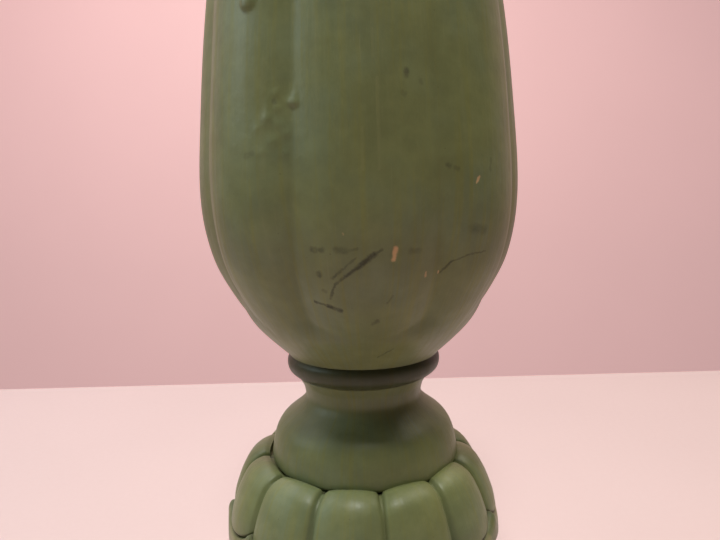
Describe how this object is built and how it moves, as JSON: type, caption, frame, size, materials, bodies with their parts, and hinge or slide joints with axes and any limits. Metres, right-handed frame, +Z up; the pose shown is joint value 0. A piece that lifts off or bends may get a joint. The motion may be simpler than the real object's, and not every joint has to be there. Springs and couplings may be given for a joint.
{
  "type": "candlestick",
  "caption": "Tall painted wood candlestick: lobed vase body, waisted neck, gadrooned knop, round stepped foot and a lift-out metal candle cup with drip pan.",
  "frame": {"origin": "middle of the underside of the felt pad, on the table", "axes": "+Z up along the threaded rod; -Y is the side that the picture shows"},
  "size_m": [0.1276, 0.1276, 0.352],
  "materials": {
    "felt": "pressed felt",
    "plinth_paint": "satin sage paint",
    "moulding_paint": "satin sage paint",
    "spool_paint": "satin sage paint",
    "girdle_paint": "satin sage paint",
    "knop_paint": "satin sage paint",
    "collar_paint": "satin sage paint",
    "bead_paint": "satin sage paint",
    "body_paint": "satin sage paint, scuffed",
    "shoulder_paint": "satin sage paint",
    "upper_neck_paint": "satin sage paint",
    "capital_paint": "satin sage paint",
    "pan_brass": "aged satin",
    "socket_brass": "aged satin",
    "collar_brass": "aged satin",
    "rod_steel": "zinc plated",
    "washer_steel": "zinc plated",
    "spring_steel": "zinc plated",
    "nut_steel": "zinc plated"
  },
  "bodies": {
    "stand": {"felt_pad": "felt", "foot_plinth": "plinth_paint", "foot_moulding": "moulding_paint", "lower_spool": "spool_paint", "knop_girdle": "girdle_paint", "gadrooned_knop": "knop_paint", "neck_collar": "collar_paint", "neck_bead": "bead_paint", "fluted_body": "body_paint", "shoulder_ring": "shoulder_paint", "upper_neck": "upper_neck_paint", "capital": "capital_paint", "tie_rod": "rod_steel", "bottom_washer": "washer_steel", "spring_washer": "spring_steel", "bottom_nut": "nut_steel", "top_washer": "washer_steel", "top_nut": "nut_steel"},
    "candle_cup": {"drip_pan": "pan_brass", "candle_socket": "socket_brass", "socket_collar": "collar_brass"}
  },
  "joints": [
    {"name": "candle_cup_lift", "type": "slide", "parent": "stand", "child": "candle_cup", "axis": [0, 0, 1], "range_m": [0, 0.03]}
  ]
}
